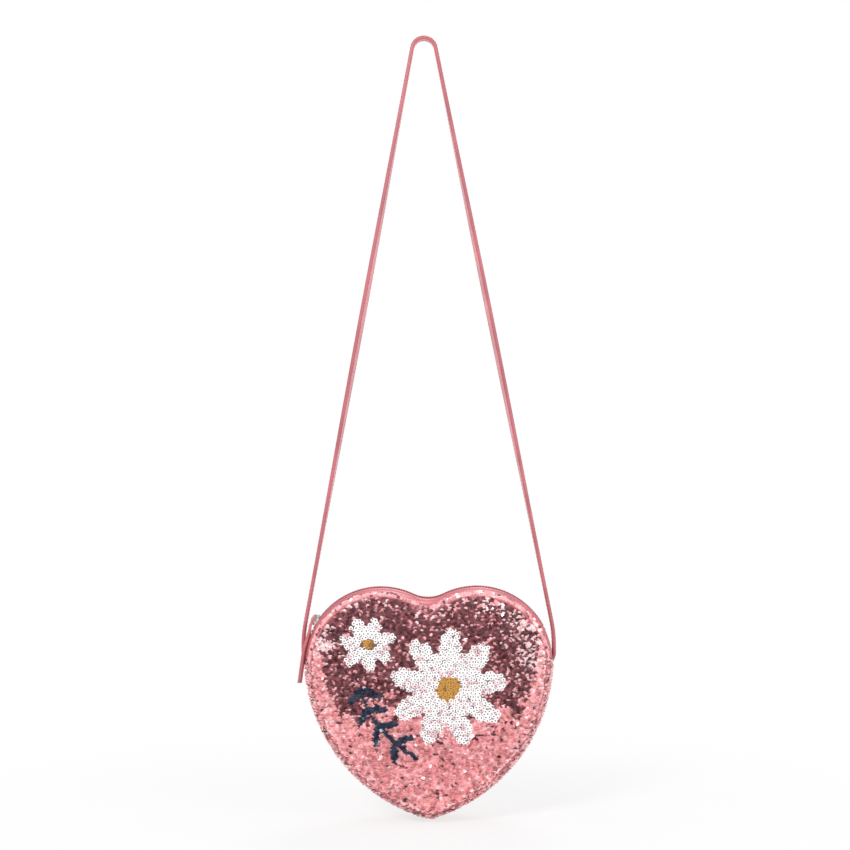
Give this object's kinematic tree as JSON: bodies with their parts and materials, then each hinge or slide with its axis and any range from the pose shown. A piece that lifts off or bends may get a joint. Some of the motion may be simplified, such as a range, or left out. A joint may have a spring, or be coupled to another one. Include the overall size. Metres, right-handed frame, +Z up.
{
  "type": "shoulder bag",
  "caption": "Heart-shaped zipped shoulder bag covered in sequins, hung by a folded leatherette strap, with a slider that travels and a bag that tips under its strap.",
  "frame": {"origin": "hang point: the underside of the strap's top bend, midway between the strands", "axes": "+Z up along the hanging strap, +Y towards the back panel, +X to the viewer's right from the front"},
  "size_m": [0.1885, 0.0532, 0.57],
  "materials": {
    "sequin_cloth": "covered in small glossy sequins",
    "wadding": "soft, matt",
    "lining_cloth": "woven, matt",
    "piping": "smooth leatherette, satin",
    "zip_tape": "ribbed woven tape",
    "zip_teeth": "satin",
    "silvered_metal": "bright",
    "leatherette": "fine grain, satin",
    "strap_filler": "soft, matt"
  },
  "bodies": {
    "strap": {"strap_cover_left": "leatherette", "strap_cover_top": "leatherette", "strap_cover_right": "leatherette", "strap_core": "strap_filler"},
    "bag": {"front_panel": "sequin_cloth", "front_padding": "wadding", "front_lining": "lining_cloth", "front_piping": "piping", "front_seam_binding": "lining_cloth", "back_panel": "sequin_cloth", "back_padding": "wadding", "back_lining": "lining_cloth", "back_piping": "piping", "back_seam_binding": "lining_cloth", "lower_gusset": "sequin_cloth", "lower_gusset_padding": "wadding", "lower_gusset_lining": "lining_cloth", "zip_strip_front": "sequin_cloth", "zip_strip_back": "sequin_cloth", "zip_lining_front": "lining_cloth", "zip_lining_back": "lining_cloth", "zip_tape_front": "zip_tape", "zip_tape_back": "zip_tape", "zip_teeth_front": "zip_teeth", "zip_teeth_back": "zip_teeth", "zip_closed_stops": "silvered_metal", "zip_open_stop": "silvered_metal", "zip_end_tab_left": "leatherette", "zip_end_tab_right": "leatherette", "strap_end_left": "leatherette", "strap_end_right": "leatherette"},
    "slider": {"slider_body": "silvered_metal", "slider_lower_plate": "silvered_metal"},
    "pull": {"pull_tab": "leatherette"}
  },
  "joints": [
    {"name": "bag_tilt", "type": "hinge", "parent": "strap", "child": "bag", "pos_m": [0, 0, -0.412], "axis": [1, 0, 0], "range_deg": [-90, 90]},
    {"name": "slider_travel", "type": "hinge", "parent": "bag", "child": "slider", "pos_m": [-0.035, 0, -0.455], "axis": [0, 1, 0], "range_deg": [0, 75]},
    {"name": "pull_lift", "type": "hinge", "parent": "slider", "child": "pull", "pos_m": [-0.08375, 0, -0.42212], "axis": [-0.5592, 0, -0.829], "range_deg": [0, 20]}
  ]
}
